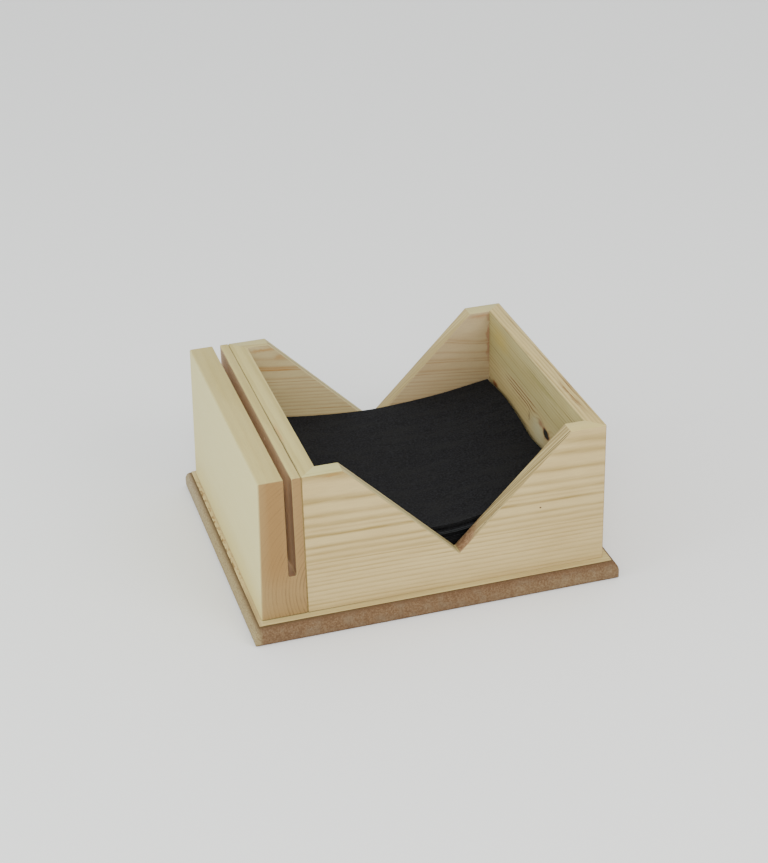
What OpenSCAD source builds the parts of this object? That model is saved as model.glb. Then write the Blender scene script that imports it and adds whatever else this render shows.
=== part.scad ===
// Napkin holder of unfinished pine: a mitred box with a deep V notch in its front and rear walls,
// a slotted block for a card glued to its left side, and a veneered base board with a moulded edge.
// A pile of folded napkins lies in the box. Lengths are millimetres. The origin is the middle of
// the underside, +Z is up and the front faces -Y.

/* [Napkins] */
// Side of a napkin folded in four
napkin_side = 165; // [120:1:200]
// Room all round between the napkins and the walls
napkin_room = 2.5; // [1:0.5:6]
// Number of napkins in the pile
napkin_count = 18; // [4:1:24]
// Height that one napkin takes up along the lowest line of the pile
napkin_pitch = 1.9; // [1.4:0.1:3]
// Air between one napkin and the next
napkin_air = 0.3; // [0.2:0.05:0.5]
// Slit between the upper and the lower leaves of one napkin
leaf_slit = 0.2; // [0.1:0.05:0.4]
// Height of the pile's folded edge above its lowest line
fold_rise = 10.5; // [2:0.5:16]
// Distance from the middle of the box to the lowest line of the pile
valley_offset = 8.5; // [0:0.5:20]

/* [Box] */
// Thickness of the four walls
wall_t = 11; // [9:0.5:18]
// Height of the walls above the base
wall_h = 94; // [75:1:140]
// Level stretch of wall on each side of a notch
notch_flat = 25; // [14:1:60]
// Height of the point of a notch above the base
notch_sill = 23; // [10:1:50]
// Radius of the rounded upright corners
corner_r = 1.6; // [0.6:0.2:5]

/* [Card block] */
// Thickness of the block at its top
block_w = 26.2; // [20:0.2:45]
// Extra thickness of the block at its foot, since its outer face leans
block_lean = 2.6; // [0:0.2:6]
// Width of the slot for the card
slot_w = 5; // [3:0.5:8]
// Height of the floor of the slot above the base
slot_floor = 27.5; // [23:0.5:60]
// Thickness of the cheek between the slot and the box
slot_cheek = 5.6; // [4:0.2:9]
// Radius of the rounded edges of the block's outer face
block_edge_r = 1.2; // [0.4:0.2:4]

/* [Base board] */
// Thickness of the fibreboard
board_t = 11.2; // [9:0.1:18]
// Thickness of the veneer on top of the fibreboard
veneer_t = 0.8; // [0.5:0.1:1.5]
// Width of veneer that shows round the box
veneer_margin = 4; // [2:0.5:15]
// Width of veneer that shows along the foot of the block
block_margin = 2.2; // [1:0.2:15]
// Distance that the moulded edge stands out from the veneer
edge_swell = 4; // [2:0.5:8]
// Height of the upright part of the moulded edge
edge_nose = 5.2; // [3:0.2:8]
// Radius that breaks the lower arris of the moulded edge
edge_under = 1.5; // [0.5:0.5:2.5]

/* [Screws] */
// Diameter of a screw over its thread
screw_d = 3.5; // [3:0.5:4.5]
// Length of a screw
screw_l = 30; // [20:1:32]
// Diameter of a countersunk head
head_d = 7; // [6:0.5:9]
// Depth of a head below the underside of the base
head_sunk = 0.4; // [0.2:0.1:1]
// Room round a screw in its bore
screw_room = 0.1; // [0.05:0.05:0.2]

/* [Hidden] */
$fn = 64;
// Overrun of every cut past the face that it opens
cut = 1;
// Upright rim of a screw head and length of the screw's point
head_rim = 0.5;
point_l = 4;
// Cross recess in a screw head: length of an arm, width and depth
recess_arm = 4;
recess_w = 0.8;
recess_depth = 1.5;
// Places of the screws along the length of what they hold
wall_screw_shares = [0.25, 0.75];
block_screw_shares = [0.15, 0.85];
// Number of straight steps in the curve of a napkin, and in its rounded fold
curve_steps = 12;
fold_steps = 6;

bay_w = napkin_side + 2 * napkin_room;
box_w = bay_w + 2 * wall_t;
rim = veneer_margin + edge_swell;
block_rim = block_margin + edge_swell;
base_w = block_rim + block_lean + block_w + box_w + rim;
base_d = box_w + 2 * rim;
floor_z = board_t + veneer_t;
box_x = base_w / 2 - rim - box_w / 2;
joint_x = box_x - box_w / 2;
wall_line = (box_w - wall_t) / 2;
lean_angle = atan(block_lean / wall_h);

edge_rise = board_t - edge_nose;
edge_r = (edge_swell * edge_swell + edge_rise * edge_rise) / (2 * edge_swell);

notch_rise = wall_h - notch_sill;
notch_run = (box_w / 2 - notch_flat) * (notch_rise + cut) / notch_rise;

head_h = head_rim + (head_d - screw_d) / 2;
screw_places = concat(
    [for (share = wall_screw_shares, side = [-1, 1]) [box_x + box_w * (share - 0.5), side * wall_line]],
    [for (share = wall_screw_shares, side = [-1, 1]) [box_x + side * wall_line, box_w * (share - 0.5)]],
    [for (share = block_screw_shares) [joint_x - block_w / 2, box_w * (share - 0.5)]]
);

fold_reach = napkin_side / 2 + valley_offset;
fold_round = napkin_pitch / 2;
curve_start = -napkin_side / 2;
curve_end = napkin_side / 2 - fold_round;

pine = [0.80, 0.73, 0.58];
pine_end = [0.70, 0.58, 0.42];
fibreboard = [0.57, 0.46, 0.35];
veneer = [0.78, 0.68, 0.48];
zinc = [0.72, 0.70, 0.64];
black_paper = [0.13, 0.13, 0.13];

// Names of the napkins, from the lowest up
function napkin_name(i) = str("napkin_", i < 10 ? "0" : "", i);

// Section of the base board between two moulded edges
module moulded_section(span) {
    intersection() {
        translate([-span / 2, 0]) square([span, board_t]);
        union() {
            translate([-span / 2 + edge_r, 0]) square([span - 2 * edge_r, board_t]);
            translate([-span / 2 + edge_under, 0]) square([span - 2 * edge_under, edge_nose]);
            translate([-span / 2, edge_under]) square([span, edge_nose - edge_under]);
            for (side = [-1, 1]) {
                translate([side * (span / 2 - edge_under), edge_under]) circle(r = edge_under);
                translate([side * (span / 2 - edge_r), edge_nose]) circle(r = edge_r);
            }
        }
    }
}

// Stepped bore for one screw, from the underside of the base upwards
module screw_bore() {
    head_r = head_d / 2 + screw_room;
    shank_r = screw_d / 2 + screw_room;
    rotate_extrude() polygon([
        [0, -cut],
        [head_r, -cut],
        [head_r, head_sunk + head_rim],
        [shank_r, head_sunk + head_h],
        [shank_r, head_sunk + screw_l + screw_room],
        [0, head_sunk + screw_l + screw_room]
    ]);
}

module screw_bores() {
    for (place = screw_places) translate(place) screw_bore();
}

module base_board() {
    color(fibreboard) difference() {
        intersection() {
            rotate([90, 0, 0]) linear_extrude(base_d, center = true) moulded_section(base_w);
            rotate([90, 0, 90]) linear_extrude(base_w, center = true) moulded_section(base_d);
        }
        screw_bores();
    }
}

module base_veneer() {
    color(veneer) difference() {
        translate([-base_w / 2 + edge_swell, -base_d / 2 + edge_swell, board_t])
            cube([base_w - 2 * edge_swell, base_d - 2 * edge_swell, veneer_t]);
        screw_bores();
    }
}

// Rectangle round the origin with rounded corners
module rounded_plate(width, depth, r) {
    square([width - 2 * r, depth], center = true);
    square([width, depth - 2 * r], center = true);
    for (x = [-1, 1], y = [-1, 1])
        translate([x * (width / 2 - r), y * (depth / 2 - r)]) circle(r = r);
}

// One wall of the box with mitred ends, its outer face to the front
module mitred_wall() {
    translate([0, 0, floor_z]) linear_extrude(wall_h) intersection() {
        rounded_plate(box_w, box_w, corner_r);
        polygon([
            [-box_w / 2, -box_w / 2],
            [box_w / 2, -box_w / 2],
            [box_w / 2 - wall_t, -box_w / 2 + wall_t],
            [-box_w / 2 + wall_t, -box_w / 2 + wall_t]
        ]);
    }
}

// V notch through a wall, open at the top
module notch() {
    translate([0, -box_w / 2 + wall_t + cut, floor_z]) rotate([90, 0, 0])
        linear_extrude(wall_t + 2 * cut) polygon([
            [0, notch_sill],
            [notch_run, wall_h + cut],
            [-notch_run, wall_h + cut]
        ]);
}

// A wall at its place: turn is its angle round the box from the front
module wall(turn, notched) {
    color(pine) difference() {
        translate([box_x, 0, 0]) rotate([0, 0, turn]) difference() {
            mitred_wall();
            if (notched) notch();
        }
        screw_bores();
    }
}

module front_wall() {
    wall(0, true);
}

module rear_wall() {
    wall(180, true);
}

module left_wall() {
    wall(-90, false);
}

module right_wall() {
    wall(90, false);
}

// Section of the card block, its joint face on the Y axis and its outer top edge rounded
module block_section() {
    edge_z = wall_h - block_edge_r;
    edge_x = -block_w - block_lean * block_edge_r / wall_h + block_edge_r / cos(lean_angle);
    difference() {
        union() {
            polygon([
                [0, 0],
                [0, wall_h],
                [edge_x, wall_h],
                [edge_x, edge_z],
                [edge_x - block_edge_r * cos(lean_angle), edge_z + block_edge_r * sin(lean_angle)],
                [-block_w - block_lean, 0]
            ]);
            translate([edge_x, edge_z]) circle(r = block_edge_r);
        }
        translate([-slot_cheek - slot_w, slot_floor]) square([slot_w, wall_h]);
    }
}

// Bar with rounded upright edges that leans as the block's outer face does
module leaning_bar() {
    bar_w = 2 * (block_w + block_lean);
    translate([-block_w - block_lean, 0, 0]) rotate([0, lean_angle, 0]) translate([bar_w / 2, 0, 0])
        linear_extrude(2 * wall_h + 2 * bar_w, center = true)
            rounded_plate(bar_w, box_w, block_edge_r);
}

// Block glued to the left wall: upright on the side of the box, leaning on the outside
module card_block() {
    color(pine_end) difference() {
        translate([joint_x, 0, floor_z]) intersection() {
            rotate([90, 0, 0]) linear_extrude(box_w + 2 * cut, center = true) block_section();
            leaning_bar();
        }
        screw_bores();
    }
}

// Countersunk wood screw, standing head down
module screw() {
    difference() {
        rotate_extrude() polygon([
            [0, 0],
            [head_d / 2, 0],
            [head_d / 2, head_rim],
            [screw_d / 2, head_h],
            [screw_d / 2, screw_l - point_l],
            [0, screw_l]
        ]);
        for (turn = [0, 90]) rotate([0, 0, turn])
            translate([-recess_arm / 2, -recess_w / 2, -cut])
                cube([recess_arm, recess_w, recess_depth + cut]);
    }
}

module base_screws() {
    color(zinc) for (place = screw_places) translate([place[0], place[1], head_sunk]) screw();
}

// Height of the pile above the base at x, counted in napkins from the bottom
function pile_z(x, count) =
    count * napkin_pitch + fold_rise * count / napkin_count * pow((x + valley_offset) / fold_reach, 2);
// Lower face, middle and upper face of napkin i at x
function under_z(x, i) = pile_z(x, i - 1) + napkin_air;
function over_z(x, i) = pile_z(x, i);
function middle_z(x, i) = (under_z(x, i) + over_z(x, i)) / 2;

// Points of a line that runs through the napkin, from one x to another
function curve_x(from, to) = [for (k = [0:curve_steps]) from + (to - from) * k / curve_steps];

// Section of napkin i: two leaves that lie on each other and meet in a rounded fold at +X
module napkin_section(i) {
    fold_z = middle_z(curve_end, i);
    fold_half = over_z(curve_end, i) - fold_z;
    polygon(concat(
        [for (x = curve_x(curve_start, curve_end)) [x, under_z(x, i)]],
        [for (k = [1:fold_steps - 1]) let (turn = -90 + 180 * k / fold_steps)
            [curve_end + fold_round * cos(turn), fold_z + fold_half * sin(turn)]],
        [for (x = curve_x(curve_end, curve_start)) [x, over_z(x, i)]],
        [for (x = curve_x(curve_start, curve_end)) [x, middle_z(x, i) + leaf_slit / 2]],
        [for (x = curve_x(curve_end, curve_start)) [x, middle_z(x, i) - leaf_slit / 2]]
    ));
}

module napkin(i) {
    color(black_paper) translate([box_x, 0, floor_z])
        rotate([90, 0, 0]) linear_extrude(napkin_side, center = true) napkin_section(i);
}

base_board();
base_veneer();
front_wall();
rear_wall();
left_wall();
right_wall();
card_block();
base_screws();
for (i = [1:napkin_count]) napkin(i);
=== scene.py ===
"""A pine napkin holder with a slotted card block, holding a pile of black paper napkins."""
import math
import random

import bpy
from mathutils import Matrix, Vector


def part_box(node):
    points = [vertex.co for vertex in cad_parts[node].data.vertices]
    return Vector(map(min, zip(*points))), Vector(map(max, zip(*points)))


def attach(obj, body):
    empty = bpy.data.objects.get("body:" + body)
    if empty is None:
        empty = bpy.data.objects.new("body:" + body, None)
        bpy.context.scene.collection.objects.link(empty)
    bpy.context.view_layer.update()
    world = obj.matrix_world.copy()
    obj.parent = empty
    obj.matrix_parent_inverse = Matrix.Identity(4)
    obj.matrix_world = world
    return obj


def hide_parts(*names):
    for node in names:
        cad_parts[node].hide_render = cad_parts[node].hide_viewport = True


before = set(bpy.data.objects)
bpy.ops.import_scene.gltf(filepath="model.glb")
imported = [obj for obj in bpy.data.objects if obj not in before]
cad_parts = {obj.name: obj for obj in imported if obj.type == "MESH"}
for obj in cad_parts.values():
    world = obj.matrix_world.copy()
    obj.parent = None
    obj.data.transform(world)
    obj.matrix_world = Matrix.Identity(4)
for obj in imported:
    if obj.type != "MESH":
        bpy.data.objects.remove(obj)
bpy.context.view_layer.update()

MM = 0.001

# The corners of the CAD nodes, from which the pieces take their places
board_lo, board_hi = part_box("base_board")
veneer_lo, veneer_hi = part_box("base_veneer")
block_lo, block_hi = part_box("card_block")
front_lo, front_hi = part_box("front_wall")
rear_lo, rear_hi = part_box("rear_wall")
left_lo, left_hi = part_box("left_wall")
right_lo, right_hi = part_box("right_wall")

wall_t = left_hi.x - left_lo.x
floor_z = veneer_hi.z
joint_x = block_hi.x
box_lo = Vector((left_lo.x, front_lo.y, floor_z))
box_hi = Vector((right_hi.x, rear_hi.y, front_hi.z))
box_half = (box_hi.x - box_lo.x) / 2
bay_centre = Vector(((box_lo.x + box_hi.x) / 2, 0, floor_z))

# The V notches and the card slot, with heights above the base
NOTCH_SILL = 23 * MM
FRONT_NOTCH_OFF = Vector((1.0, 0, -0.8)) * MM
BLOCK_TOP_W = 26.2 * MM
SLOT_W = 5 * MM
SLOT_FLOOR = 27.5 * MM
SLOT_CHEEK = 5.6 * MM

# How far a cutter reaches past the wood, and how much of the edges is rubbed down
OVERRUN = 2 * MM
ARRIS = 0.7 * MM
SOFT_ARRIS = 1.2 * MM
BOARD_ARRIS = 0.8 * MM
VENEER_ARRIS = 0.15 * MM
CORNER_ROUND = 1.6 * MM

# Flat cuts that round each half of an upright corner
CORNER_CUTS = 2

# The moulded edge of the base, and its screws
EDGE_NOSE = 5.2 * MM
EDGE_STEPS = 12
SCREW_SHARES = (0.25, 0.75)
BLOCK_SCREW_SHARES = (0.15, 0.85)
HEAD_RADIUS = 3.6 * MM
SHANK_RADIUS = 1.85 * MM
HEAD_SUNK = 0.9 * MM
BORE_SIDES = 32

# The camera that took the photograph, in the frame of the part
LENS_PX = 1893.5
LONG_SIDE_PX = 863
SENSOR_MM = 36
CAMERA_AZIMUTH = -16.1
CAMERA_ELEVATION = 28.15
CAMERA_ROLL = -1.69
CAMERA_DISTANCE = 1.2345
CAMERA_TARGET = Vector((0.00085, 0.01575, 0.06499))


# Woodworking


def deselect():
    bpy.ops.object.select_all(action="DESELECT")


def take(piece):
    """Makes a piece the only one selected, and the active one."""
    deselect()
    piece.select_set(True)
    bpy.context.view_layer.objects.active = piece


def settle(piece):
    """Puts a piece's place, turn and size into its mesh."""
    take(piece)
    bpy.ops.object.transform_apply(location=True, rotation=True, scale=True)
    return piece


def named(name):
    """Names the piece that was made last."""
    piece = bpy.context.object
    piece.name = name
    piece.data.name = name
    return piece


def stock(name, lo, hi):
    """A squared piece of stock from one corner to the other."""
    deselect()
    bpy.ops.mesh.primitive_cube_add(size=1, location=(lo + hi) / 2, scale=hi - lo)
    return settle(named(name))


def apply_modifiers(piece):
    take(piece)
    for modifier in list(piece.modifiers):
        bpy.ops.object.modifier_apply(modifier=modifier.name)


def cut_away(piece, cutter):
    """Takes the cutter's shape out of the piece, and removes the cutter."""
    cut = piece.modifiers.new("cut", "BOOLEAN")
    cut.operation = "DIFFERENCE"
    cut.solver = "EXACT"
    cut.object = cutter
    apply_modifiers(piece)
    bpy.data.objects.remove(cutter)


def saw(piece, point, outward):
    """Saws the piece along a plane and drops what lies outward of it."""
    take(piece)
    bpy.ops.object.mode_set(mode="EDIT")
    bpy.ops.mesh.select_all(action="SELECT")
    bpy.ops.mesh.bisect(plane_co=point, plane_no=outward, use_fill=True, clear_outer=True)
    bpy.ops.object.mode_set(mode="OBJECT")


def pick(piece, wanted):
    """Goes into edit mode with just the corners selected that are wanted."""
    take(piece)
    bpy.ops.object.mode_set(mode="EDIT")
    bpy.ops.mesh.select_mode(type="VERT")
    bpy.ops.mesh.select_all(action="DESELECT")
    bpy.ops.object.mode_set(mode="OBJECT")
    for corner in piece.data.vertices:
        corner.select = wanted(corner.co)
    bpy.ops.object.mode_set(mode="EDIT")


def smooth_faces(piece, angle=35):
    take(piece)
    bpy.ops.object.shade_smooth_by_angle(angle=math.radians(angle))


def ease(piece, width, segments=2, angle=30):
    """Rubs down the arrises of a piece that are sharper than the angle."""
    bevel = piece.modifiers.new("ease", "BEVEL")
    bevel.width = width
    bevel.segments = segments
    bevel.limit_method = "ANGLE"
    bevel.angle_limit = math.radians(angle)
    apply_modifiers(piece)
    smooth_faces(piece)


def finish_piece(piece, material, node, body="holder"):
    """Gives a piece its material and its body, and lets it stand for a CAD node."""
    piece.data.materials.clear()
    piece.data.materials.append(material)
    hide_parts(node)
    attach(piece, body)
    return piece


# Finishes, whose places and sizes are in millimetres

FRONT_OUTSIDE = front_lo.y / MM
FRONT_INSIDE = front_hi.y / MM
REAR_INSIDE = rear_lo.y / MM
RIGHT_INSIDE = right_lo.x / MM
NOTCH_X = (bay_centre.x + FRONT_NOTCH_OFF.x) / MM
JOINT_X = joint_x / MM
BLOCK_LEFT = block_lo.x / MM
BASE_TOP = floor_z / MM
BOX_TOP = box_hi.z / MM


class Finish:
    """A material whose nodes are wired by short calls. facing says how squarely a face looks
    along x, y and z, from 0 to 1, either way round."""

    # The sockets of a colour mix: its share, and the two colours
    MIX_SOCKETS = (0, 6, 7)

    def __init__(self, name):
        self.material = bpy.data.materials.new(name)
        self.material.use_nodes = True
        self.tree = self.material.node_tree
        self.shader = self.tree.nodes["Principled BSDF"]
        coordinates = self.add("ShaderNodeTexCoord")
        self.place = self.scale(coordinates.outputs["Object"], 1 / MM)
        self.x, self.y, self.z = self.parts(self.place)
        self.facing = [self.math("ABSOLUTE", part) for part in self.parts(coordinates.outputs["Normal"])]

    def add(self, kind, inputs=None, **settings):
        """Adds a node, with its settings, and with a value or a link for each input given."""
        node = self.tree.nodes.new(kind)
        for key, value in settings.items():
            setattr(node, key, value)
        for socket, value in (inputs or {}).items():
            self.feed(node.inputs[socket], value)
        return node

    def feed(self, socket, value):
        if isinstance(value, bpy.types.NodeSocket):
            self.tree.links.new(value, socket)
        elif socket.type == "VECTOR":
            socket.default_value = value[:3]
        else:
            socket.default_value = value

    def parts(self, vector):
        return self.add("ShaderNodeSeparateXYZ", {0: vector}).outputs

    def vector(self, x, y, z=0.0):
        return self.add("ShaderNodeCombineXYZ", {0: x, 1: y, 2: z}).outputs[0]

    def vectors(self, operation, first, second):
        return self.add("ShaderNodeVectorMath", {0: first, 1: second}, operation=operation).outputs[0]

    def scale(self, vector, value):
        return self.add("ShaderNodeVectorMath", {0: vector, 3: value}, operation="SCALE").outputs[0]

    def math(self, operation, *values):
        return self.add("ShaderNodeMath", dict(enumerate(values)), operation=operation).outputs[0]

    def sum(self, *values):
        total = values[0]
        for value in values[1:]:
            total = self.math("ADD", total, value)
        return total

    def times(self, *values):
        total = values[0]
        for value in values[1:]:
            total = self.math("MULTIPLY", total, value)
        return total

    def less(self, first, second):
        return self.math("SUBTRACT", first, second)

    def apart(self, first, second):
        """How far two values are apart."""
        return self.math("ABSOLUTE", self.less(first, second))

    def length(self, *values):
        squares = [self.math("MULTIPLY", value, value) for value in values]
        return self.math("SQRT", self.sum(*squares))

    def step(self, value, low, high, out_low=0.0, out_high=1.0):
        """Goes smoothly from out_low to out_high as the value goes from low to high."""
        inputs = {"Value": value, "From Min": low, "From Max": high}
        inputs.update({"To Min": out_low, "To Max": out_high})
        return self.add("ShaderNodeMapRange", inputs, interpolation_type="SMOOTHSTEP").outputs[0]

    def noise(self, vector, size=1.0, detail=2.0, roughness=0.5):
        """Noise from 0 to 1 whose lumps are about as large as size."""
        inputs = {"Vector": vector, "Scale": 1 / size, "Detail": detail, "Roughness": roughness}
        return self.add("ShaderNodeTexNoise", inputs).outputs["Fac"]

    def mix(self, share, first, second, blend="MIX"):
        node = self.add("ShaderNodeMix", data_type="RGBA", blend_type=blend)
        for socket, value in zip(self.MIX_SOCKETS, (share, first, second)):
            self.feed(node.inputs[socket], value)
        return node.outputs[2]

    def spot(self, centre, size, core=0.0, wander=0.0):
        """A soft spot: size is its reach each way, core the share of that where it is 1, and
        wander how far its outline strays."""
        place = self.place
        if wander:
            stray = self.add("ShaderNodeTexNoise", {"Vector": place, "Scale": 0.25, "Detail": 3.0})
            stray = self.vectors("SUBTRACT", stray.outputs["Color"], (0.5, 0.5, 0.5))
            place = self.vectors("ADD", place, self.scale(stray, wander))
        near = self.vectors("DIVIDE", self.vectors("SUBTRACT", place, centre), size)
        far = self.add("ShaderNodeVectorMath", {0: near}, operation="LENGTH").outputs["Value"]
        return self.step(far, 1.0, core)

    def bump(self, height, distance):
        inputs = {"Height": height, "Distance": distance, "Strength": 1.0}
        self.feed(self.shader.inputs["Normal"], self.add("ShaderNodeBump", inputs).outputs[0])

    def surface(self, colour, roughness, specular=0.4):
        self.feed(self.shader.inputs["Base Color"], colour)
        self.feed(self.shader.inputs["Roughness"], roughness)
        self.shader.inputs["Specular IOR Level"].default_value = specular
        return self.material


def rgb(red, green, blue):
    """A colour given as it looks on a screen, from 0 to 255."""
    channels = []
    for value in (red, green, blue):
        share = value / 255
        channels.append(share / 12.92 if share <= 0.04045 else ((share + 0.055) / 1.055) ** 2.4)
    return (*channels, 1.0)


PALE_PINE = rgb(187, 165, 116)
TAN_PINE = rgb(180, 157, 108)
SUMMER_PINE = rgb(140, 119, 68)
END_PINE = rgb(144, 117, 75)
END_SUMMER = rgb(98, 74, 48)
# Painted contact shadow along the foot of a wall
FOOT_PAINTED_SHADOW = rgb(84, 76, 50)
# Painted light on the faces that look up: a tint that lightens them, and none for the block
WALL_TOP_PAINTED_LIGHT = (1.15, 1.22, 1.08, 1.0)
NO_PAINTED_TOP_LIGHT = (1.0, 1.0, 1.0, 1.0)


class Pine(Finish):
    """Pine with growth rings round a pith. grain is "x" or "y", the way the fibres run, and pith
    the place of the pith across the board, as (sideways, up). For each millimetre along the grain
    the pith moves back sideways by drift, and the rings grow by fall. years lists the rings that
    stand out, as (radius, strength). From the radius inner outwards the rings are even: gap wide
    there, and wider further out by growth. They stray by wander, with a noise that seed picks, and
    knots, as (centre, size, push), bend them."""

    # Where the dark wood of a listed ring begins, is darkest and ends, from the ring's radius
    DARK_FROM = -1.7
    DARKEST = -0.1
    DARK_TO = 0.9

    # The slant of the saw marks on a notch, and the two deep ones, by how far across they lie
    SAW_SLANT = 0.18
    DEEP_MARKS = (-75.6, -77.2)

    def __init__(self, name, grain, pith, drift=0.0, fall=0.0, years=(), inner=0.0, gap=2.9,
                 growth=0.0, seed=0.0, wander=0.5, knots=()):
        super().__init__(name)
        self.seed = seed
        self.end_axis = "xy".index(grain)
        self.along, self.side = (self.x, self.y) if grain == "x" else (self.y, self.x)
        off = self.sum(self.less(self.side, pith[0]), self.times(self.along, drift))
        rise = self.less(self.z, pith[1])
        wave = self.times(self.less(self.grained(75, 34), 0.5), 2 * wander)
        ripple = self.times(self.less(self.grained(13, 6, shift=7.0), 0.5), 0.5 * wander)
        radius = self.sum(self.length(off, rise), wave, ripple)
        if fall:
            radius = self.less(radius, self.times(self.along, fall))
        for centre, size, push in knots:
            radius = self.sum(radius, self.times(self.spot(centre, size), push))
        self.radius = radius
        rings = self.less(radius, inner)
        if growth:
            rings = self.math("LOGARITHM", self.sum(self.times(rings, growth / gap), 1.0), math.e)
            rings = self.times(rings, 1 / growth)
        else:
            rings = self.times(rings, 1 / gap)
        beyond = self.step(self.less(radius, inner), 0.0, 0.6)
        self.even = self.times(self.even_years(rings), beyond)
        self.summer = self.sum(self.listed_years(years), self.even) if years else self.even

    def grained(self, length, width, shift=0.0, detail=2.0):
        """Noise drawn out along the grain."""
        far = self.sum(self.times(self.along, 1 / length), self.seed + shift)
        across = self.vector(far, self.times(self.side, 1 / width), self.times(self.z, 1 / width))
        return self.noise(across, 1.0, detail)

    def listed_years(self, years):
        """Summer wood of single rings: it darkens slowly outwards and ends sooner."""
        start, end = years[0][0] - 2.5, years[-1][0] + 1.5
        share = self.math("DIVIDE", self.less(self.radius, start), end - start)
        ramp = self.add("ShaderNodeValToRGB", {0: share})
        stops = [(start, 0.0)]
        for ring, strength in years:
            begin = max(ring + self.DARK_FROM, stops[-1][0] + 0.05)
            stops += [(begin, 0.0), (ring + self.DARKEST, strength), (ring + self.DARK_TO, 0.0)]
        elements = ramp.color_ramp.elements
        elements[1].position = 1.0
        elements[1].color = elements[0].color = (0, 0, 0, 1)
        for place, strength in stops[1:]:
            stop = elements.new((place - start) / (end - start))
            stop.color = (strength, strength, strength, 1)
        return ramp.outputs[0]

    def even_years(self, rings):
        """Summer wood of rings at even gaps, some darker than others."""
        uneven = self.noise(self.vector(rings, 0.0, self.seed), 3.0, 1.0)
        rings = self.sum(rings, self.times(uneven, 1.2))
        season = self.math("FRACT", rings)
        which = self.vector(self.math("FLOOR", rings), self.seed)
        chance = self.add("ShaderNodeTexWhiteNoise", {"Vector": which}).outputs[0]
        late = self.times(self.step(season, 0.3, 0.8), self.step(season, 1.0, 0.88))
        return self.times(late, self.step(chance, 0.0, 1.0, 0.5, 1.0))

    def colour(self, pale, tan, summer, strength=0.5, upper=WALL_TOP_PAINTED_LIGHT):
        """Clouded spring wood with darker summer wood, end grain, and a painted contact shadow along
        the foot. upper is painted light: a tint that lightens the faces that look up."""
        cloud = self.grained(60, 14, 3.0, 3.0)
        patchy = self.grained(30, 2.0, 5.0)
        self.fibre = self.grained(9, 0.45, 0.0, 3.0)
        speck = self.noise(self.place, 0.8, 3.0, 0.7)
        wood = self.mix(self.step(cloud, 0.3, 0.7), pale, tan)
        late = self.times(self.summer, strength, self.step(patchy, 0.25, 0.7, 0.6, 1.2))
        wood = self.mix(late, wood, summer)
        # Painted light: the faces that look up are tinted lighter
        wood = self.mix(self.step(self.facing[2], 0.8, 0.95), wood, upper, "MULTIPLY")
        on_end = self.step(self.facing[self.end_axis], 0.35, 0.7)
        wood = self.mix(on_end, wood, self.end_grain())
        # Painted contact shadow along the foot, stronger towards the left
        foot_shadow = self.step(self.z, BASE_TOP + 1.0, BASE_TOP + 0.5)
        foot_shadow = self.times(foot_shadow, self.step(self.x, 20, -90, 0.0, 0.8))
        wood = self.mix(foot_shadow, wood, FOOT_PAINTED_SHADOW)
        tone = self.sum(self.times(self.fibre, 0.6), self.times(speck, 0.4))
        return self.scale(wood, self.step(tone, 0.3, 0.7, 0.93, 1.06))

    def end_grain(self):
        late = self.step(self.even, 0.3, 0.8)
        share = self.times(self.step(self.z, 70, 35, 0.22, 0.38), self.step(self.x, -108, -90, 0.6, 1.1))
        share = self.times(share, self.step(self.noise(self.place, 8.0, 1.0), 0.35, 0.6, 0.4, 1.0))
        return self.mix(self.times(late, share), END_PINE, END_SUMMER)

    def finished(self, colour):
        height = self.sum(self.times(self.fibre, 0.6), self.times(self.summer, 0.4))
        self.bump(height, 0.12 * MM)
        return self.surface(colour, self.step(self.fibre, 0.3, 0.7, 0.6, 0.75), specular=0.25)

    def sawn_slopes(self, colour, depth=1.0):
        """Slanting saw marks on the sloping faces of a notch. The left face is paler, with a dark
        seam along it."""
        self.slope = self.times(self.step(self.facing[0], 0.45, 0.6), self.step(self.facing[2], 0.45, 0.6))
        across = self.sum(self.y, self.times(self.z, self.SAW_SLANT))
        self.marks = self.noise(self.vector(self.times(self.z, 0.03), across, 2.0), 1.1, 3.0)
        sawn = self.step(self.marks, 0.35, 0.62, 0.0, depth)
        sawn = self.mix(sawn, rgb(180, 161, 112), rgb(140, 120, 76))
        colour = self.mix(self.slope, colour, sawn)
        for place in self.DEEP_MARKS:
            line = self.step(self.apart(across, place), 0.6, 0.2)
            line = self.times(line, self.slope, self.step(self.marks, 0.2, 0.6, 0.3, 0.8), depth)
            colour = self.mix(line, colour, rgb(92, 76, 44))
        left = self.times(self.slope, self.step(self.x, NOTCH_X + 1.5, NOTCH_X - 2.5))
        fresh = self.times(left, self.step(self.marks, 0.3, 0.65, 0.8, 0.4))
        colour = self.mix(fresh, colour, rgb(190, 178, 128))
        seam = self.apart(self.math("ABSOLUTE", self.y), REAR_INSIDE + 4.5)
        seam = self.times(left, self.step(seam, 2.6, 1.2), 0.55)
        return self.mix(seam, colour, rgb(112, 102, 70))

    def scorched_point(self, colour):
        """A scorched patch on the right slope at the point of the front notch, with a chipped
        edge. The slopes are sawn first."""
        rough = self.noise(self.place, 1.7, 3.0, 0.7)
        reach = self.sum(self.times(self.y, 0.09), rough, self.step(self.z, 50, 38, 0.0, 0.7))
        burnt = self.step(self.sum(self.z, self.times(self.marks, 14)), 61, 50)
        burnt = self.times(burnt, self.slope, self.step(reach, -7.9, -7.35, 0.15, 1.0))
        burnt = self.times(burnt, self.step(self.x, NOTCH_X - 0.5, NOTCH_X + 1.5, 0.1), 0.9)
        char = self.mix(self.step(rough, 0.4, 0.6), rgb(120, 86, 62), rgb(150, 116, 86))
        colour = self.mix(burnt, colour, char)
        chipped = self.step(self.apart(self.sum(self.y, self.times(rough, 3)), -92.2), 0.7, 0.2)
        chipped = self.times(chipped, self.step(self.z, 42, 48), self.step(self.z, 66, 58))
        return self.mix(self.times(chipped, self.slope, 0.72), colour, rgb(104, 86, 58))


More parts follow.
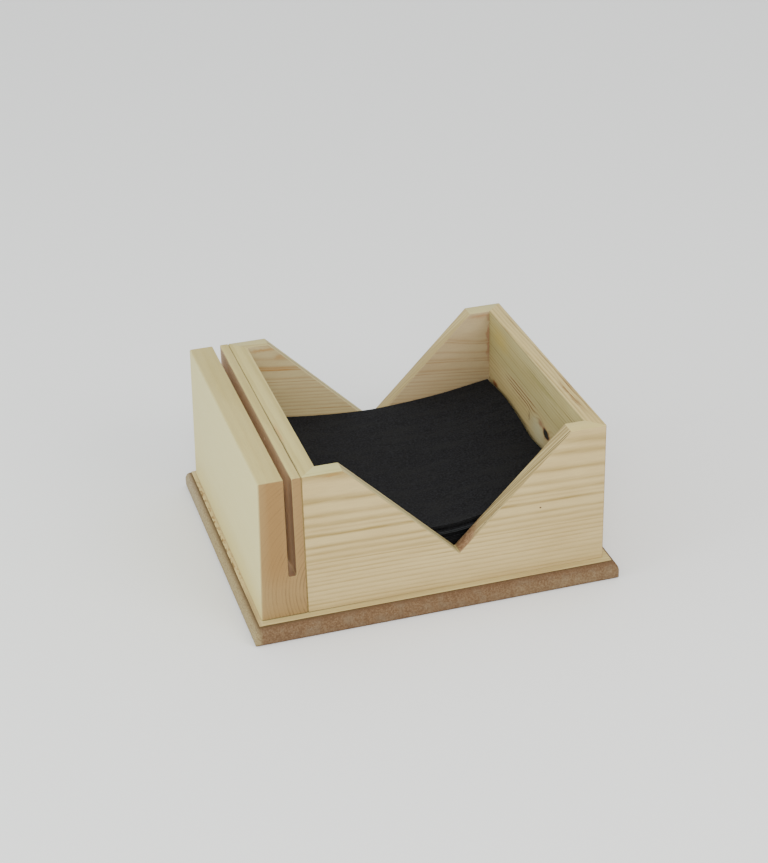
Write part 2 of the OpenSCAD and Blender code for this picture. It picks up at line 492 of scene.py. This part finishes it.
def glue_line(f, colour):
    """The dark line on top of the joint between the card block and the box, with a long chip
    beside it."""
    wave = f.less(f.noise(f.vector(f.y, 0.0), 22.0, 2.0), 0.5)
    off = f.less(f.less(f.x, JOINT_X), f.times(wave, 1.8))
    on_top = f.step(f.z, BOX_TOP - 1.0, BOX_TOP - 0.6)
    chip = f.times(f.step(f.y, -20, -36), f.step(f.y, -56, -42), f.step(f.apart(off, 1.2), 1.2, 0.4))
    colour = f.mix(f.times(chip, on_top, 0.6), colour, rgb(170, 128, 74))
    reach = f.times(f.step(f.y, 30, -60, 0.1, 0.55), f.step(f.y, -94, -74, 0.5, 1.0))
    line = f.times(f.step(f.math("ABSOLUTE", off), 1.1, 0.2), reach, on_top)
    return f.mix(line, colour, rgb(96, 78, 56))


def front_pine():
    years = [(60.1, 0.6), (62.4, 0.75), (67.2, 0.7), (71.6, 0.6), (75.1, 0.7), (77.0, 0.35),
             (79.3, 1.0), (84.5, 0.65), (87.7, 0.55), (90.9, 0.6)]
    f = Pine("front_pine", "x", pith=(FRONT_OUTSIDE + 60.15, 114), drift=0.0225, years=years,
             inner=91.8, gap=2.6, seed=1.0, wander=0.35)
    outer_years = f.step(f.radius, 88, 96, 1.15, 0.55)
    f.summer = f.times(f.summer, outer_years, f.step(f.x, 10, 45, 1.0, 0.88))
    upward = f.step(f.facing[2], 0.8, 0.95)
    f.summer = f.times(f.summer, f.step(f.facing[2], 0.8, 0.95, 1.0, 0.35))
    colour = f.colour(PALE_PINE, TAN_PINE, SUMMER_PINE, strength=1.0)
    # Painted light: upward faces towards the left are tinted cooler and lighter, as lit from the left
    painted_cool_top_light = f.times(upward, f.step(f.x, 60, -50))
    colour = f.mix(painted_cool_top_light, colour, (0.99, 1.12, 1.22, 1.0), "MULTIPLY")
    resin = f.spot((-64, FRONT_OUTSIDE, 104), (9, 3, 1.8), core=0.1, wander=4.0)
    colour = f.mix(f.times(resin, 0.8), colour, rgb(150, 118, 64))
    pin_knot = f.spot((66.9, FRONT_OUTSIDE, 56.6), (0.9, 1, 0.8), core=0.4)
    colour = f.mix(pin_knot, colour, rgb(80, 58, 38))
    return f.finished(f.scorched_point(f.sawn_slopes(colour)))


def rear_pine():
    years = [(31.1, 0.6), (32.5, 0.7), (39.4, 0.45), (44.3, 0.6), (45.5, 1.0), (51.5, 0.5)]
    dip = ((92, REAR_INSIDE, 88), (30, 30, 20), -2.0)
    f = Pine("rear_pine", "x", pith=(REAR_INSIDE + 22, 120), drift=-0.01, fall=0.107, years=years,
             inner=52.9, gap=2.5, seed=2.3, wander=0.7, knots=[dip])
    f.summer = f.times(f.summer, f.step(f.radius, 52, 54, 1.0, 0.6), f.step(f.x, 10, 50, 1.0, 0.78))
    colour = f.colour(rgb(177, 162, 121), rgb(169, 152, 111), rgb(140, 108, 66), strength=0.9)
    resin = f.spot((-60, REAR_INSIDE, 102.5), (17, 6, 2.4), core=0.1, wander=4.0)
    colour = f.mix(f.times(resin, 0.7), colour, rgb(152, 112, 58))
    drop = f.spot((-50, REAR_INSIDE, 96), (7, 6, 3.6), core=0.1, wander=4.0)
    colour = f.mix(f.times(drop, 0.6), colour, rgb(150, 112, 62))
    orange = f.times(f.step(f.radius, 43, 44.6), f.step(f.radius, 46.6, 45.8), f.step(f.x, -30, -50))
    colour = f.mix(f.times(orange, 0.45), colour, rgb(156, 112, 54))
    # Painted shade with a pinkish tint on the right part of the rear wall's broad faces
    shade_and_blush = f.times(f.step(f.x, 0, 50), f.step(f.facing[1], 0.7, 0.9))
    colour = f.mix(shade_and_blush, colour, (0.94, 0.88, 0.93, 1.0), "MULTIPLY")
    corner = f.spot((RIGHT_INSIDE, REAR_INSIDE, 86), (3.2, 6, 24), core=0.3, wander=9.0)
    colour = f.mix(f.times(corner, 0.6), colour, rgb(134, 86, 58))
    rim = f.spot((92, REAR_INSIDE, 103), (13, 6, 2.2), core=0.1, wander=4.0)
    colour = f.mix(f.times(rim, 0.6), colour, rgb(146, 106, 70))
    return f.finished(f.sawn_slopes(colour, depth=0.6))


def left_pine():
    f = Pine("left_pine", "y", pith=(left_lo.x / MM - 25, 150), drift=0.01, gap=3.4, seed=3.1)
    colour = f.colour(rgb(182, 164, 115), rgb(176, 158, 108), SUMMER_PINE, strength=0.45)
    return f.finished(glue_line(f, colour))


def right_pine():
    knot = (RIGHT_INSIDE, -23.5, 65.0)
    swirl = (RIGHT_INSIDE, 0, 66)
    f = Pine("right_pine", "y", pith=(RIGHT_INSIDE + 80, 10), drift=0.01, gap=1.75, seed=5.7,
             wander=0.8, knots=[(knot, (30, 16, 11), 3.2), (swirl, (30, 15, 10), 1.8)])
    f.summer = f.times(f.summer, f.step(f.grained(45, 9, shift=12.0), 0.35, 0.65, 0.5, 1.0))
    bands = f.noise(f.vector(f.radius, 0.0, 3.0), 4.0, 1.0)
    f.summer = f.times(f.summer, f.step(bands, 0.35, 0.6, 0.35, 1.1))
    f.summer = f.times(f.summer, f.step(f.facing[2], 0.8, 0.95, 1.0, 1.35))
    # upper is painted light on the top of the right wall
    colour = f.colour(rgb(188, 170, 122), rgb(180, 160, 110), rgb(128, 104, 62), strength=0.7,
                      upper=(1.14, 1.12, 1.0, 1.0))
    inside = f.times(f.facing[0], f.step(f.x, RIGHT_INSIDE + 1.5, RIGHT_INSIDE + 0.5))
    shaded = f.times(inside, f.step(f.z, 64, 84))
    colour = f.mix(shaded, colour, (0.7, 0.73, 0.67, 1.0), "MULTIPLY")
    olive = f.spot((RIGHT_INSIDE, -15, 95), (9, 45, 3.5), core=0.2, wander=4.0)
    colour = f.mix(f.times(inside, olive, 0.5), colour, rgb(126, 116, 66))
    # Painted light: a pale patch that lifts the shade low on the inside of the right wall, beside the pile
    painted_light_patch = f.spot((RIGHT_INSIDE, -9, 60), (6, 21, 16), wander=6.0)
    colour = f.mix(f.times(painted_light_patch, 0.75), colour, rgb(182, 177, 142))
    honey = f.spot((RIGHT_INSIDE, 63, 94), (6, 26, 12), wander=5.0)
    colour = f.mix(f.times(honey, 0.75), colour, rgb(158, 137, 74))
    red = f.spot((RIGHT_INSIDE, 22, 73), (6, 36, 7), core=0.5, wander=3.0)
    colour = f.mix(f.times(red, f.step(f.even, 0.05, 0.5), 0.85), colour, rgb(116, 80, 52))
    rust = f.spot((RIGHT_INSIDE, 73, 56), (5, 8, 3), core=0.2, wander=3.0)
    colour = f.mix(rust, colour, rgb(134, 84, 50))
    bruise = f.spot((RIGHT_INSIDE, 7.5, 63.5), (5, 1.6, 5), core=0.2, wander=5.0)
    colour = f.mix(f.times(bruise, 0.7), colour, rgb(112, 92, 70))
    brow = f.spot((RIGHT_INSIDE, -14, 68), (5, 8, 4), core=0.2, wander=4.0)
    colour = f.mix(f.times(brow, 0.75), colour, rgb(136, 96, 70))
    colour = f.mix(f.spot(knot, (5, 8, 5.4), core=0.5, wander=6.0), colour, rgb(120, 74, 50))
    colour = f.mix(f.spot(knot, (5, 6, 4), core=0.6, wander=5.0), colour, rgb(34, 34, 25))
    veins = f.step(f.grained(60, 1.1, shift=9.0), 0.48, 0.62)
    veins = f.times(veins, f.spot((106, -48, BOX_TOP), (5, 40, 8), core=0.3, wander=3.0))
    on_top = f.step(f.z, BOX_TOP - 0.8, BOX_TOP - 0.2)
    colour = f.mix(f.times(veins, on_top), colour, rgb(120, 84, 44))
    return f.finished(colour)


def block_pine():
    f = Pine("block_pine", "y", pith=(JOINT_X + 35, 27), inner=33.0, gap=2.0, growth=0.01, seed=4.0)
    colour = f.colour(rgb(188, 173, 114), rgb(182, 166, 106), rgb(166, 142, 84), strength=0.2,
                      upper=NO_PAINTED_TOP_LIGHT)
    on_end = f.step(f.facing[1], 0.75, 0.95)
    aged = f.times(on_end, f.step(f.z, 26, 50), f.step(f.x, -88, -98, 0.4, 1.0))
    colour = f.mix(aged, colour, (0.91, 0.82, 0.71, 1.0), "MULTIPLY")
    # The outer face is a paler, cooler cream with little grain: partly its own look, partly painted cool
    # light from the left
    outer = f.times(f.facing[0], f.step(f.x, JOINT_X - 20, JOINT_X - 22))
    colour = f.mix(f.times(outer, f.step(f.z, 12, 70, 0.5, 0.85)), colour, rgb(182, 173, 125))
    # The outer face is darker and yellower towards the bottom, more so towards the near end
    darker_low_face = f.sum(f.z, f.times(f.noise(f.vector(f.y, f.z), 9.0, 2.0), 10))
    darker_low_face = f.times(outer, f.step(darker_low_face, 44, 18), f.step(f.y, 96, -70, 0.6, 1.0))
    colour = f.mix(darker_low_face, colour, (0.92, 0.86, 0.74, 1.0), "MULTIPLY")
    shred = f.noise(f.vector(f.times(f.z, 0.7), f.times(f.y, 0.3)), 1.6, 3.0, 0.65)
    frayed = f.times(outer, f.step(shred, 0.48, 0.6), f.step(f.z, BASE_TOP + 4.5, BASE_TOP + 0.5))
    frayed = f.times(frayed, f.step(f.y, -64, -44), f.step(f.y, 90, 78), 0.7)
    colour = f.mix(frayed, colour, rgb(166, 138, 94))
    colour = f.mix(slot_walls(f), colour, slot_wood(f))
    splinter = f.spot((JOINT_X - SLOT_CHEEK / MM, -27.7, 98.0), (1.5, 1.8, 1.2), core=0.4)
    colour = f.mix(splinter, colour, rgb(250, 220, 188))
    return f.finished(glue_line(f, colour))


def slot_walls(f):
    """Where the card block's slot is: 1 on its walls and floor."""
    half = SLOT_W / MM / 2
    off = f.apart(f.x, (joint_x - SLOT_CHEEK) / MM - half)
    within = f.times(f.step(off, half + 0.3, half + 0.05), f.step(f.z, BOX_TOP - 0.4, BOX_TOP - 1.2))
    return f.times(f.step(f.facing[1], 0.5, 0.2), within)


def slot_wood(f):
    """Sawn wood, dark at the front end of the slot; lower down and further in, painted light makes it
    pale.
    """
    sawn = f.noise(f.vector(f.times(f.y, 0.1), f.z), 1.4, 3.0)
    sawn = f.mix(sawn, rgb(190, 164, 130), rgb(170, 144, 110))
    depth = f.step(f.y, block_lo.y / MM, block_lo.y / MM + 16)
    high = f.mix(depth, rgb(136, 108, 80), sawn)
    # Painted light: very pale lower down away from the front end, to lift the shade deep in the slot
    low = f.mix(depth, rgb(122, 92, 68), rgb(206, 178, 144))
    return f.mix(f.step(f.z, 104, 92), high, low)


def raw_fibreboard():
    f = Finish("raw_fibreboard")
    left, top = board_lo.x / MM, board_hi.z / MM
    fleck = f.noise(f.place, 1.1, 3.0, 0.65)
    patch = f.noise(f.place, 7.0, 3.0)
    flecked = f.step(fleck, 0.35, 0.7)
    colour = f.mix(flecked, rgb(94, 71, 50), rgb(116, 93, 69))
    colour = f.mix(f.step(patch, 0.45, 0.7, 0.0, 0.3), colour, rgb(120, 106, 86))
    speck = f.step(f.noise(f.place, 0.9, 1.0), 0.72, 0.78, 0.0, 0.4)
    colour = f.mix(speck, colour, rgb(160, 146, 124))
    dull = f.times(f.step(f.x, 0, 90), f.step(f.z, 9.5, 5), f.step(patch, 0.3, 0.6, 0.5, 1.0))
    colour = f.mix(f.times(dull, 0.6), colour, f.mix(flecked, rgb(112, 90, 66), rgb(136, 118, 90)))
    # Painted light: the left end of the board is greyer and paler, as lit from the left
    painted_left_light = f.times(f.step(f.x, left + 5.5, left + 2.0), f.step(fleck, 0.36, 0.6, 0.45, 1.0))
    grey = f.mix(f.step(f.y, 10, 90), rgb(140, 125, 91), rgb(143, 130, 103))
    colour = f.mix(painted_left_light, colour, grey)
    # The edge is darker along its very bottom
    darker_bottom = f.step(f.z, 1.6, 0.3)
    colour = f.mix(f.times(darker_bottom, 0.6), colour, rgb(78, 56, 38))
    scorched = f.step(f.z, 8.6, 11.0)
    colour = f.mix(f.times(scorched, 0.5), colour, rgb(88, 62, 42))
    edge = f.step(f.z, top - 0.9, top - 0.2)
    colour = f.mix(f.times(edge, f.step(f.x, 0, -110, 0.3, 0.7)), colour, rgb(84, 68, 44))
    f.bump(fleck, 0.25 * MM)
    return f.surface(colour, roughness=0.9, specular=0.15)


def pale_veneer():
    f = Finish("pale_veneer")
    left, bottom = veneer_lo.x / MM, veneer_lo.z / MM
    lines = f.noise(f.vector(f.times(f.x, 0.02), f.y, f.z), 1.0, 3.0)
    colour = f.mix(f.step(lines, 0.35, 0.65), rgb(184, 165, 112), rgb(170, 148, 98))
    glue = f.step(f.z, bottom + 0.35, bottom + 0.15)
    colour = f.mix(f.times(glue, 0.9), colour, rgb(74, 50, 32))
    strip = f.step(f.x, BLOCK_LEFT + 0.2, BLOCK_LEFT - 0.2)
    colour = f.mix(strip, colour, rgb(193, 172, 120))
    shred = f.noise(f.vector(f.times(f.x, 0.7), f.times(f.y, 0.3)), 1.6, 3.0, 0.65)
    torn = f.times(strip, f.step(f.y, -64, -44), f.step(f.y, 90, 78))
    colour = f.mix(f.times(torn, f.step(shred, 0.48, 0.6), 0.9), colour, rgb(164, 134, 86))
    rim = f.times(torn, f.step(f.x, left + 1.2, left + 0.2), f.step(shred, 0.46, 0.6), 0.8)
    colour = f.mix(rim, colour, rgb(118, 92, 54))
    # Painted shade: the strip beside the block darkens towards the near end
    painted_shade_near_end = f.times(strip, f.step(f.y, -48, -72), f.step(f.x, BLOCK_LEFT, left, 0.3, 0.8))
    colour = f.mix(painted_shade_near_end, colour, rgb(148, 124, 82))
    f.bump(lines, 0.08 * MM)
    return f.surface(colour, roughness=0.7, specular=0.25)


def zinc():
    f = Finish("bright_zinc")
    scuff = f.noise(f.place, 0.5, 2.0)
    f.shader.inputs["Metallic"].default_value = 1.0
    f.bump(scuff, 0.02 * MM)
    plate = f.mix(scuff, rgb(190, 188, 180), rgb(160, 156, 140))
    return f.surface(plate, f.step(scuff, 0.3, 0.7, 0.25, 0.45))


def black_tissue():
    f = Finish("black_tissue")
    crepe = f.noise(f.place, 1.3, 4.0, 0.7)
    drift = f.noise(f.vector(f.times(f.x, 0.25), f.y, f.z), 7.0, 3.0)
    colour = f.mix(f.step(crepe, 0.35, 0.68), rgb(21, 21, 22), rgb(38, 38, 41))
    colour = f.mix(f.step(drift, 0.4, 0.7, 0.0, 0.5), colour, rgb(36, 36, 36))
    # Painted shade: faces of the tissue that do not look up, such as the fold edges at the front, are
    # darkened
    painted_side_shade = f.step(f.facing[2], 0.75, 0.35)
    colour = f.mix(f.times(painted_side_shade, 0.9), colour, rgb(8, 8, 8))
    # Painted highlight on the upper side of the napkin nose that stands out furthest at the front
    painted_nose_highlight = f.step(f.y, FRONT_INSIDE + 1.3, FRONT_INSIDE + 0.7)
    colour = f.mix(f.times(painted_nose_highlight, f.step(f.facing[2], 0.2, 0.7)), colour, rgb(46, 48, 50))
    f.bump(crepe, 0.5 * MM)
    return f.surface(colour, roughness=0.95, specular=0.08)


# The holder


def corner_bar(apex):
    """A square bar standing on its corner, for cutting a notch down to the apex."""
    side = (2 * box_half + 4 * OVERRUN) / math.sqrt(2)
    deselect()
    bpy.ops.mesh.primitive_cube_add(size=1, rotation=(0, math.radians(45), 0))
    bar = named("bar")
    bar.scale = (side, wall_t + 2 * OVERRUN, side)
    bar.location = apex + Vector((0, 0, side / math.sqrt(2)))
    return settle(bar)


def mitre(wall, lo, hi, outward):
    """Saws both ends of a wall at 45 degrees, and rounds the upright corner they end in."""
    face = Vector(outward)
    outer = [hi[k] if outward[k] > 0 else lo[k] for k in range(3)]
    run = Vector((abs(face.y), abs(face.x), 0))
    for end, way in ((lo, -1), (hi, 1)):
        corner = Vector([end[k] if run[k] else outer[k] for k in range(3)])
        middle = corner - (face + run * way) * CORNER_ROUND
        for cut in range(CORNER_CUTS):
            turn = math.radians(45 * (cut + 0.5) / CORNER_CUTS)
            away = face * math.cos(turn) + run * way * math.sin(turn)
            saw(wall, middle + away * CORNER_ROUND, away)
        saw(wall, corner, run * way - face)
    smooth_faces(wall)


def wall(node, outward, material, notch=None):
    """One wall of the box, with a notch down to the given point if there is one."""
    lo, hi = box_lo.copy(), box_hi.copy()
    for k in range(3):
        if outward[k] > 0:
            lo[k] = hi[k] - wall_t
        if outward[k] < 0:
            hi[k] = lo[k] + wall_t
    piece = stock(node + "_pine", lo, hi)
    if notch:
        cut_away(piece, corner_bar(notch))
    ease(piece, ARRIS)
    mitre(piece, lo, hi, outward)
    return finish_piece(piece, material, node)


def notch_point(lo, hi):
    return Vector((bay_centre.x, (lo.y + hi.y) / 2, floor_z + NOTCH_SILL))


def card_block():
    """The block with its leaning, rounded outer face and its slot."""
    block = stock("card_block_pine", block_lo, block_hi)
    pick(block, lambda c: c.z > floor_z + MM and c.x < joint_x - MM)
    lean = (block_hi.x - block_lo.x) - BLOCK_TOP_W
    bpy.ops.transform.translate(value=(lean, 0, 0))
    bpy.ops.object.mode_set(mode="OBJECT")
    pick(block, lambda c: c.x < joint_x - MM)
    bpy.ops.mesh.bevel(offset=SOFT_ARRIS, segments=4, affect="EDGES")
    bpy.ops.object.mode_set(mode="OBJECT")
    slot_hi = Vector((block_hi.x - SLOT_CHEEK, block_hi.y + OVERRUN, block_hi.z + OVERRUN))
    slot_lo = Vector((slot_hi.x - SLOT_W, block_lo.y - OVERRUN, floor_z + SLOT_FLOOR))
    cut_away(block, stock("slot", slot_lo, slot_hi))
    ease(block, ARRIS, segments=3, angle=60)
    return finish_piece(block, block_pine(), "card_block")


# The base


def screw_places():
    wall_line = box_half - wall_t / 2
    places = []
    for side in (-1, 1):
        for share in SCREW_SHARES:
            run = 2 * box_half * (share - 0.5)
            places += [(bay_centre.x + run, side * wall_line), (bay_centre.x + side * wall_line, run)]
    for share in BLOCK_SCREW_SHARES:
        places.append((joint_x - BLOCK_TOP_W / 2, 2 * box_half * (share - 0.5)))
    return places


def countersink(board, x, y):
    """Sinks a hole for a screw's head into the underside, and bores on for its shank."""
    deselect()
    head_top = board_lo.z + HEAD_SUNK
    bpy.ops.mesh.primitive_cylinder_add(vertices=BORE_SIDES, radius=HEAD_RADIUS, depth=4 * HEAD_SUNK,
                                        location=(x, y, head_top - 2 * HEAD_SUNK))
    cutter = settle(named("countersink"))
    pick(cutter, lambda c: c.z > head_top - 0.01 * MM)
    bpy.ops.mesh.extrude_region_move(TRANSFORM_OT_translate={"value": (0, 0, HEAD_RADIUS - SHANK_RADIUS)})
    shrink = SHANK_RADIUS / HEAD_RADIUS
    bpy.ops.transform.resize(value=(shrink, shrink, 1), center_override=(x, y, 0))
    bpy.ops.mesh.extrude_region_move(TRANSFORM_OT_translate={"value": (0, 0, board_hi.z)})
    bpy.ops.object.mode_set(mode="OBJECT")
    cut_away(board, cutter)


def base_board():
    """The fibreboard: a slab whose upper edge is worked to a quarter round."""
    swell = veneer_lo.x - board_lo.x
    rise = board_hi.z - board_lo.z - EDGE_NOSE
    radius = (swell ** 2 + rise ** 2) / (2 * swell)
    board = stock("base_board_fibre", board_lo, Vector((board_hi.x, board_hi.y, board_lo.z + EDGE_NOSE)))
    pick(board, lambda c: c.z > board_lo.z + MM)
    half_x, half_y = (board_hi.x - board_lo.x) / 2, (board_hi.y - board_lo.y) / 2
    inset, height = 0.0, 0.0
    for k in range(1, EDGE_STEPS + 1):
        up = rise * math.sin(math.pi / 2 * k / EDGE_STEPS)
        back = radius - math.sqrt(radius ** 2 - up ** 2)
        bpy.ops.mesh.extrude_region_move(TRANSFORM_OT_translate={"value": (0, 0, up - height)})
        scale = ((half_x - back) / (half_x - inset), (half_y - back) / (half_y - inset), 1)
        bpy.ops.transform.resize(value=scale, center_override=(0, 0, 0))
        inset, height = back, up
    bpy.ops.object.mode_set(mode="OBJECT")
    ease(board, BOARD_ARRIS, segments=3, angle=80)
    for x, y in screw_places():
        countersink(board, x, y)
    smooth_faces(board)
    return finish_piece(board, raw_fibreboard(), "base_board")


def base_veneer():
    sheet = stock("base_veneer_sheet", veneer_lo, veneer_hi)
    ease(sheet, VENEER_ARRIS)
    return finish_piece(sheet, pale_veneer(), "base_veneer")


# The napkins

NAPKIN_COUNT = sum(1 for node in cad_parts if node.startswith("napkin_"))
NAPKIN_SIDE = 165 * MM
SHEET_T = 0.28 * MM
LAYERS = 4
NAPKIN_SEED = 7

# The mesh lines round a fold, beside it and over the rest of a napkin
FOLD_STEPS = 5
FOLD_SIDE = 8 * MM
FLAT_STEPS = 22

# Ripples of the paper: their height, and their reach sideways and to the rear
RIPPLE = 0.15 * MM
RIPPLE_X = 23 * MM
RIPPLE_Y = 31 * MM

# Heights of the pile above the base, in millimetres, and how far the paper rises or dips
PILE_MIDDLE = 36
REAR_MIDDLE = 35.2
FRONT_MIDDLE = 36.2
FRONT_RISE = 6.2
CURL_UP = 3.4
CURL_DOWN = 2.2

# How far a napkin lies out of place, in millimetres sideways and to the rear, and in degrees
STRAY_X = (-0.7, 0.5)
STRAY_Y = (0.3, 1.6)
STRAY_TURN = (-0.3, 0.3)

# The napkins whose fronts stand out in the notch, and how far they lie out of place
SET_SHIFTS = {NAPKIN_COUNT: (0.3, -0.9), NAPKIN_COUNT - 2: (-0.2, -2.3)}


def smooth(value, low, high):
    share = min(max((value - low) / (high - low), 0.0), 1.0)
    return share * share * (3 - 2 * share)


def hump(value, centre, reach):
    """A smooth hump, 1 at its centre."""
    return math.exp(-((value - centre) / reach) ** 2)


def pile_height(x, y):
    """Height of the pile above the base, at a place from the middle of the bay, in millimetres.
    The rear bends up towards both sides, the front rises on both sides of a dip in the middle,
    and the right side curls."""
    rear = REAR_MIDDLE + (0.035 * x + 0.00078 * x * x if x > 0 else 0.0012 * x * x)
    front = FRONT_MIDDLE + FRONT_RISE * (1 - hump(x, -5, 29 if x > -5 else 50))
    share = smooth(-y, -70, 80)
    curl = CURL_UP * hump(y, 46, 28) - CURL_DOWN * hump(y, -2, 14)
    return rear + (front - rear) * share + curl * smooth(x, 40, 82)


def fold_lines(radius):
    """Places of the mesh lines across half a napkin, close together round the fold."""
    fold = [radius * math.pi / 2 * k / FOLD_STEPS for k in range(FOLD_STEPS + 1)]
    rest = NAPKIN_SIDE - FOLD_SIDE
    flat = [FOLD_SIDE + rest * k / FLAT_STEPS for k in range(FLAT_STEPS + 1)]
    return fold + [FOLD_SIDE / 4, FOLD_SIDE / 2] + flat


def both_ways(values):
    return [-v for v in reversed(values[1:])] + values


def bend(distance, radius):
    """Where a point lies after a fold: its way from the fold's centre line, and its height in
    radii."""
    quarter = radius * math.pi / 2
    if abs(distance) <= quarter:
        angle = distance / radius
        return radius * math.cos(angle), math.sin(angle)
    return quarter - abs(distance), math.copysign(1.0, distance)


def folded_point(a, b, pitch):
    """A point of the flat sheet after both folds, as (x, y, layer), the layer from 0.5 to 3.5."""
    y, turned = bend(b, pitch / 2)
    lower = 1.0 + 0.5 * turned
    upper = 3.0 - 0.5 * turned
    half = (upper - lower) / 2
    x, over = bend(a, half * pitch)
    return x, -y, (lower + upper) / 2 + half * over


def napkin_lay(index, draw):
    """How a napkin lies in the pile: its shift sideways and to the rear, and its turn."""
    shift = Vector((draw.uniform(*STRAY_X), draw.uniform(*STRAY_Y))) * MM
    turn = math.radians(draw.uniform(*STRAY_TURN))
    if index in SET_SHIFTS:
        shift, turn = Vector(SET_SHIFTS[index]) * MM, 0.0
    return shift, turn


def napkin_sheet(name, index, draw):
    """The paper of a napkin, folded in four and lying at its place from the bottom of the pile."""
    pitch = PILE_MIDDLE * MM / NAPKIN_COUNT / LAYERS
    shift, turn = napkin_lay(index, draw)
    wave = [draw.uniform(0, 2 * math.pi) for _ in range(2)]
    edge = NAPKIN_SIDE / 2 - 1.5 * pitch
    across = both_ways(fold_lines(1.5 * pitch))
    down = both_ways(fold_lines(0.5 * pitch))
    points = []
    for b in down:
        for a in across:
            x, y, layer = folded_point(a, b, pitch)
            x, y = edge + x, y - edge
            x, y = x * math.cos(turn) - y * math.sin(turn), x * math.sin(turn) + y * math.cos(turn)
            x, y = x + shift.x, y + shift.y
            level = index - 1 + layer / LAYERS
            height = pile_height(x / MM, y / MM) * MM * level / NAPKIN_COUNT
            ripple = math.sin(x / RIPPLE_X + wave[0]) * math.sin(y / RIPPLE_Y + wave[1])
            height += RIPPLE * ripple * min(1.0, level / 3)
            points.append((bay_centre.x + x, y, floor_z + height))
    row = len(across)
    faces = [(j * row + i, j * row + i + 1, (j + 1) * row + i + 1, (j + 1) * row + i)
             for j in range(len(down) - 1) for i in range(row - 1)]
    mesh = bpy.data.meshes.new(name)
    mesh.from_pydata(points, [], faces)
    piece = bpy.data.objects.new(name, mesh)
    bpy.context.scene.collection.objects.link(piece)
    return piece


def napkin(index, draw, material):
    """A napkin with the thickness of its paper, on the stack or on top of it."""
    node = f"napkin_{index:02d}"
    piece = napkin_sheet(node + "_paper", index, draw)
    thick = piece.modifiers.new("thick", "SOLIDIFY")
    thick.thickness = SHEET_T
    thick.offset = 0
    apply_modifiers(piece)
    smooth_faces(piece, angle=60)
    body = "top_napkin" if index == NAPKIN_COUNT else "napkin_stack"
    finish_piece(piece, material, node, body)
    return piece


# The studio

TABLE_SIDE = 8
TABLE_DROP = 0.2 * MM
TABLE_WHITE = (0.9, 0.9, 0.9, 1.0)
SKY_COLOUR = (0.98, 1.0, 0.99, 1)
SKY_STRENGTH = 1.25
LAMP_AIM = Vector((0, 0, 0.05))
WARM_LIGHT = (1.0, 0.97, 0.92)
COOL_LIGHT = (0.9, 1.0, 0.96)


def camera():
    azimuth, elevation, roll = (math.radians(v) for v in (CAMERA_AZIMUTH, CAMERA_ELEVATION, CAMERA_ROLL))
    level = math.cos(elevation)
    back = Vector((math.sin(azimuth) * level, -math.cos(azimuth) * level, math.sin(elevation)))
    right = Vector((math.cos(azimuth), math.sin(azimuth), 0))
    right = right * math.cos(roll) + back.cross(right) * math.sin(roll)
    up = back.cross(right)
    lens = bpy.data.cameras.new("camera")
    lens.sensor_width = SENSOR_MM
    lens.lens = LENS_PX / LONG_SIDE_PX * SENSOR_MM
    lens.clip_start = 0.01
    view = bpy.data.objects.new("camera", lens)
    turn = Matrix((right, up, back)).transposed().to_4x4()
    view.matrix_world = Matrix.Translation(CAMERA_TARGET + back * CAMERA_DISTANCE) @ turn
    bpy.context.scene.collection.objects.link(view)
    bpy.context.scene.camera = view


def soft_box(name, place, size, power, colour):
    lamp = bpy.data.lights.new(name, "AREA")
    lamp.shape = "RECTANGLE"
    lamp.size, lamp.size_y = size
    lamp.energy = power
    lamp.color = colour
    light = bpy.data.objects.new(name, lamp)
    light.location = place
    light.rotation_mode = "QUATERNION"
    light.rotation_quaternion = (Vector(place) - LAMP_AIM).to_track_quat("Z", "Y")
    bpy.context.scene.collection.objects.link(light)


def studio():
    deselect()
    bpy.ops.mesh.primitive_plane_add(size=TABLE_SIDE, location=(0, 0, board_lo.z - TABLE_DROP))
    table = settle(named("table"))
    table.data.materials.append(Finish("white_table").surface(TABLE_WHITE, roughness=0.8, specular=0.2))
    world = bpy.data.worlds.new("studio")
    world.use_nodes = True
    sky = world.node_tree.nodes["Background"]
    sky.inputs["Color"].default_value = SKY_COLOUR
    sky.inputs["Strength"].default_value = SKY_STRENGTH
    bpy.context.scene.world = world
    soft_box("key", (0.75, -1.3, 1.0), (0.9, 0.9), 12, WARM_LIGHT)
    soft_box("front", (-0.4, -1.35, 0.85), (0.5, 0.5), 8, WARM_LIGHT)
    soft_box("side", (-1.4, -0.15, 0.28), (0.9, 0.5), 16, COOL_LIGHT)


def build():
    point = notch_point(front_lo, front_hi) + FRONT_NOTCH_OFF
    wall("front_wall", (0, -1, 0), front_pine(), point)
    wall("rear_wall", (0, 1, 0), rear_pine(), notch_point(rear_lo, rear_hi))
    wall("left_wall", (-1, 0, 0), left_pine())
    wall("right_wall", (1, 0, 0), right_pine())
    card_block()
    base_board()
    base_veneer()
    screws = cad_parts["base_screws"]
    screws.material_slots[0].material = zinc()
    paper = black_tissue()
    draw = random.Random(NAPKIN_SEED)
    for index in range(1, NAPKIN_COUNT + 1):
        napkin(index, draw, paper)


camera()
build()
studio()
